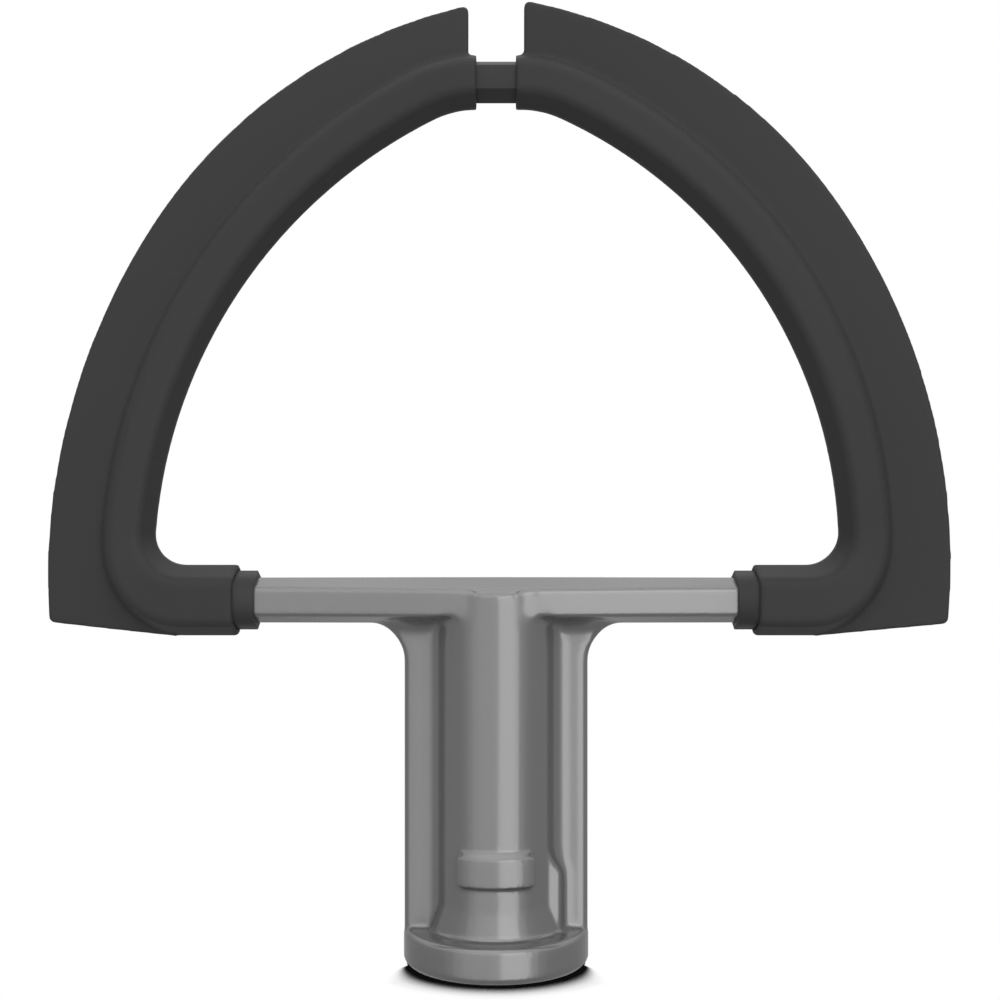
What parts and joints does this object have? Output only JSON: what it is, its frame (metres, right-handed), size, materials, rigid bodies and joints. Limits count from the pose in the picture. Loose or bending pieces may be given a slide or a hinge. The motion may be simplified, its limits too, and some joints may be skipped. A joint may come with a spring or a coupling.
{
  "type": "flat beater",
  "caption": "Flat beater for a stand mixer: a cast hub and crossbar that carry a rounded loop with flexible silicone scraping edges along both arms.",
  "frame": {"origin": "centre of the hub's mouth, where the mixer's drive shaft goes in and where the beater stands", "axes": "+Z along the hub away from its mouth, towards the loop's tip; X along the crossbar; -Y is the side with the pad over the pin's seat"},
  "size_m": [0.1394, 0.0284, 0.1479],
  "materials": {
    "coated_casting": "satin",
    "dark_jacket": "satin",
    "dark_silicone": "matte"
  },
  "bodies": {
    "root": {"cast_frame": "coated_casting", "loop_jacket": "dark_jacket", "left_flex_edge": "dark_silicone", "right_flex_edge": "dark_silicone"}
  },
  "joints": []
}
